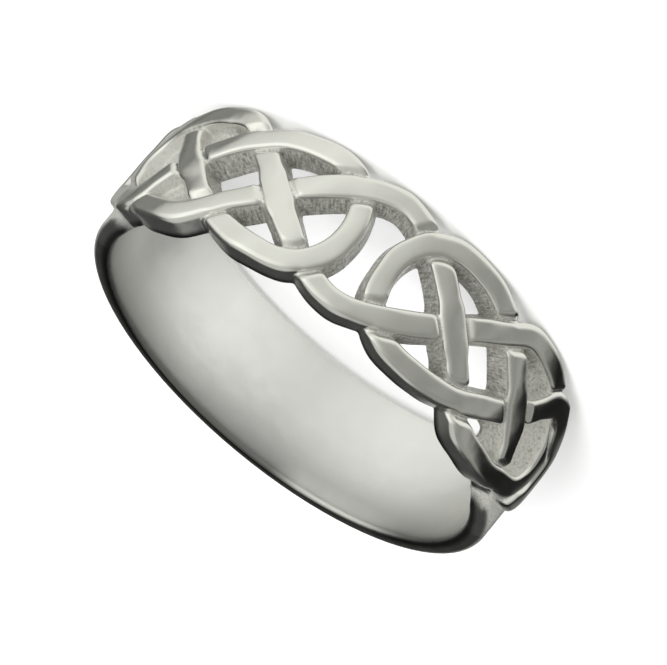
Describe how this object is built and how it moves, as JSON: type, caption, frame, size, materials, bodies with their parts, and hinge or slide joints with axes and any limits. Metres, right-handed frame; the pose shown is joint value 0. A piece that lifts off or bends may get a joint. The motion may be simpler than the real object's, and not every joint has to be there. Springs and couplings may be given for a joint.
{
  "type": "celtic ring",
  "caption": "Finger ring in cast silver with a plain shank behind and a pierced over-and-under plaited knot band in front.",
  "frame": {"origin": "on the axis of the finger hole, at the side face that the ring rests on", "axes": "+Z along the finger hole's axis, away from the resting side; -Y towards the middle of the interlace"},
  "size_m": [0.02, 0.0196, 0.006],
  "materials": {
    "silver": "polished cast silver, grey and grained in the recesses"
  },
  "bodies": {
    "root": {"ring_band": "silver"}
  },
  "joints": []
}
